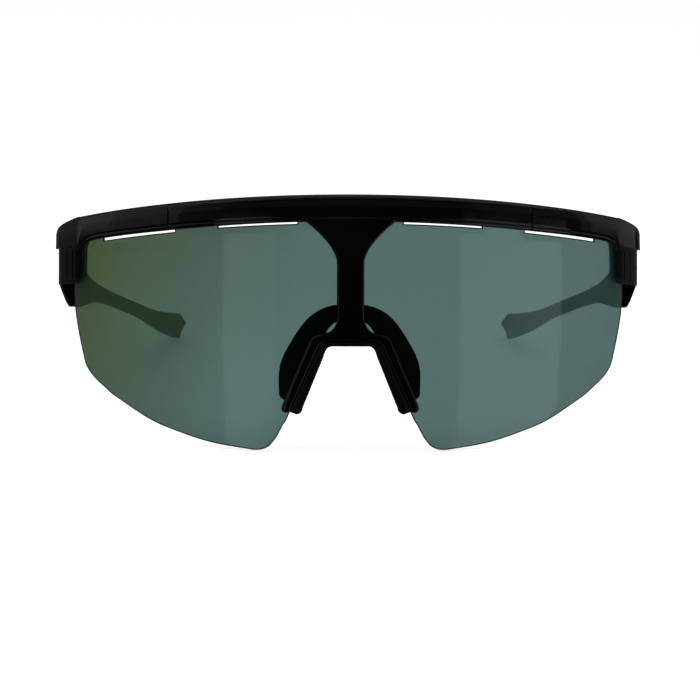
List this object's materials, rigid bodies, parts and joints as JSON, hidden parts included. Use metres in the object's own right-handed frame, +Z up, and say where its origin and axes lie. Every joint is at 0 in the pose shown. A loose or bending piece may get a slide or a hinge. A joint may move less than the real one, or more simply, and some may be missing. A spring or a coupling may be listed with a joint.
{
  "type": "wraparound sport sunglasses",
  "caption": "Semi-rimless shield sunglasses: one curved tinted lens under a black brow bar with a bridge column, a soft nose pad and temples that fold.",
  "frame": {"origin": "middle of the whole box, on the surface that the glasses stand on with the temples open: the lower edge of the lens in front and both temple tips behind", "axes": "+X towards the wearer's left, +Y from the front back along the temples, +Z up; x = 0 is the mirror plane"},
  "size_m": [0.1442, 0.1546, 0.0606],
  "materials": {
    "gloss_black": "polished black nylon",
    "lens_tint": "polished tinted polycarbonate with a soft green-blue mirror coat",
    "satin_black": "satin moulded",
    "rubber_black": "soft-touch",
    "screw_steel": "turned stainless steel",
    "nylon_black": "plain"
  },
  "bodies": {
    "front": {"brow_bar": "gloss_black", "shield_lens": "lens_tint", "nose_saddle": "satin_black", "nose_pad": "rubber_black", "end_piece_left": "gloss_black", "end_piece_right": "gloss_black", "splice_screw_left": "screw_steel", "splice_screw_right": "screw_steel", "hinge_screw_left": "screw_steel", "hinge_screw_right": "screw_steel", "hinge_sleeve_left": "screw_steel", "hinge_sleeve_right": "screw_steel", "hinge_washer_upper_left": "nylon_black", "hinge_washer_upper_right": "nylon_black", "hinge_washer_lower_left": "nylon_black", "hinge_washer_lower_right": "nylon_black"},
    "left_temple": {"temple_left": "gloss_black", "temple_core_wire_left": "screw_steel", "ear_sock_left": "rubber_black"},
    "right_temple": {"temple_right": "gloss_black", "temple_core_wire_right": "screw_steel", "ear_sock_right": "rubber_black"}
  },
  "joints": [
    {"name": "left_temple_fold", "type": "hinge", "parent": "front", "child": "left_temple", "pos_m": [0.0671, -0.0284, 0.0365], "axis": [0, 0.1832, 0.9831], "range_deg": [0, 90]},
    {"name": "right_temple_fold", "type": "hinge", "parent": "front", "child": "right_temple", "pos_m": [-0.0671, -0.0284, 0.0365], "axis": [0, -0.1832, -0.9831], "range_deg": [0, 76]}
  ]
}
